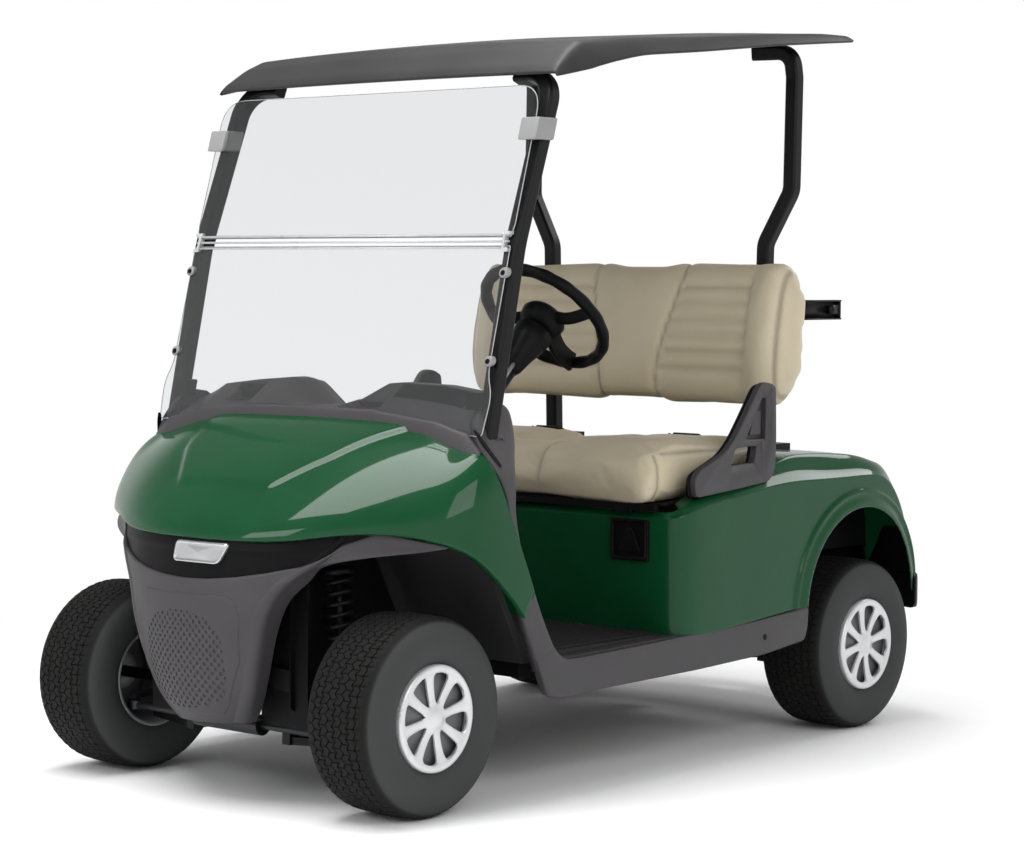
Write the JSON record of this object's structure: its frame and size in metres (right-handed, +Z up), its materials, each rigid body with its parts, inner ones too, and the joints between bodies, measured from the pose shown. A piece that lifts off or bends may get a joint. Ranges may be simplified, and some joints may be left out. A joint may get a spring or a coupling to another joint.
{
  "type": "two-seat electric golf cart",
  "caption": "Open two-seat electric golf cart with a fold-down windshield, roof on struts, bench seat, steered front wheels and a bag well behind the seat.",
  "frame": {"origin": "on the ground, in the middle of the overall length and width", "axes": "+Z up, -Y is the front of the cart, +X is its left (driver's) side"},
  "size_m": [1.212, 2.3303, 1.8599],
  "materials": {
    "green_paint": "gloss",
    "grey_plastic": "grained",
    "black_plastic": "satin",
    "black_steel": "satin powder coat",
    "rubber_mat": "ribbed",
    "tyre_rubber": "matte",
    "wheel_silver": "satin",
    "vinyl_beige": "grained vinyl",
    "clear_pane": "clear",
    "zinc_steel": "satin",
    "bright_plate": "satin",
    "roof_plastic": "satin"
  },
  "bodies": {
    "chassis": {"frame_rails": "black_steel", "floor_mat": "rubber_mat", "rocker_panels": "grey_plastic", "cowl": "green_paint", "fascia": "grey_plastic", "nose_band": "black_plastic", "name_plate": "bright_plate", "shock_towers": "black_steel", "grille_panel": "grey_plastic", "front_liners": "black_plastic", "dash": "grey_plastic", "steering_column": "black_plastic", "pedals": "black_steel", "front_arms": "black_steel", "front_shocks": "black_steel", "steering_rack": "zinc_steel", "rear_axle": "black_steel", "drive_motor": "black_steel", "rear_springs": "black_steel", "battery": "black_plastic", "rear_body": "green_paint", "bag_tray": "black_plastic", "rear_bumper": "black_plastic", "charge_port": "black_plastic", "seat_hinges": "black_steel", "seat_back": "vinyl_beige", "seat_back_frame": "black_plastic", "hip_restraints": "grey_plastic", "front_struts": "black_steel", "rear_struts": "black_steel", "bag_rack": "black_steel", "roof": "roof_plastic", "windshield_lower": "clear_pane", "windshield_upper": "clear_pane", "windshield_hinge": "black_steel", "windshield_clips": "zinc_steel"},
    "steering_wheel": {"steering_wheel": "black_plastic"},
    "tie_rods": {"tie_rods": "zinc_steel"},
    "knuckle_left": {"knuckle_left": "zinc_steel"},
    "knuckle_right": {"knuckle_right": "zinc_steel"},
    "wheel_front_left": {"tyre_front_left": "tyre_rubber", "wheel_front_left": "wheel_silver"},
    "wheel_front_right": {"tyre_front_right": "tyre_rubber", "wheel_front_right": "wheel_silver"},
    "wheel_rear_left": {"tyre_rear_left": "tyre_rubber", "wheel_rear_left": "wheel_silver"},
    "wheel_rear_right": {"tyre_rear_right": "tyre_rubber", "wheel_rear_right": "wheel_silver"},
    "seat_lid": {"seat_board": "black_steel", "seat_cushion": "vinyl_beige"}
  },
  "joints": [
    {"name": "steering", "type": "hinge", "parent": "chassis", "child": "steering_wheel", "pos_m": [0.285, -0.215, 1.111], "axis": [0, 0.7145, 0.6997], "range_deg": [-288, 288]},
    {"name": "rack_slide", "type": "slide", "parent": "chassis", "child": "tie_rods", "axis": [1, 0, 0], "range_m": [-0.042, 0.042]},
    {"name": "kingpin_left", "type": "hinge", "parent": "chassis", "child": "knuckle_left", "pos_m": [0.345, -0.905, 0.228], "axis": [0, 0, 1], "range_deg": [-24.5, 24.5]},
    {"name": "kingpin_right", "type": "hinge", "parent": "chassis", "child": "knuckle_right", "pos_m": [-0.345, -0.905, 0.228], "axis": [0, 0, 1], "range_deg": [-24.5, 24.5]},
    {"name": "roll_front_left", "type": "hinge", "parent": "knuckle_left", "child": "wheel_front_left", "pos_m": [0.461, -0.905, 0.228], "axis": [1, 0, 0], "continuous": true},
    {"name": "roll_front_right", "type": "hinge", "parent": "knuckle_right", "child": "wheel_front_right", "pos_m": [-0.461, -0.905, 0.228], "axis": [1, 0, 0], "continuous": true},
    {"name": "roll_rear_left", "type": "hinge", "parent": "chassis", "child": "wheel_rear_left", "pos_m": [0.502, 0.765, 0.228], "axis": [1, 0, 0], "continuous": true},
    {"name": "roll_rear_right", "type": "hinge", "parent": "chassis", "child": "wheel_rear_right", "pos_m": [-0.502, 0.765, 0.228], "axis": [1, 0, 0], "continuous": true},
    {"name": "seat_hinge", "type": "hinge", "parent": "chassis", "child": "seat_lid", "pos_m": [0, 0.43, 0.784], "axis": [-1, 0, 0], "range_deg": [0, 55]}
  ],
  "couplings": [
    {"joint": "kingpin_left", "follows": "steering", "ratio": 0.083333},
    {"joint": "kingpin_right", "follows": "steering", "ratio": 0.083333},
    {"joint": "rack_slide", "follows": "steering", "m_per_rad": 0.008092}
  ]
}
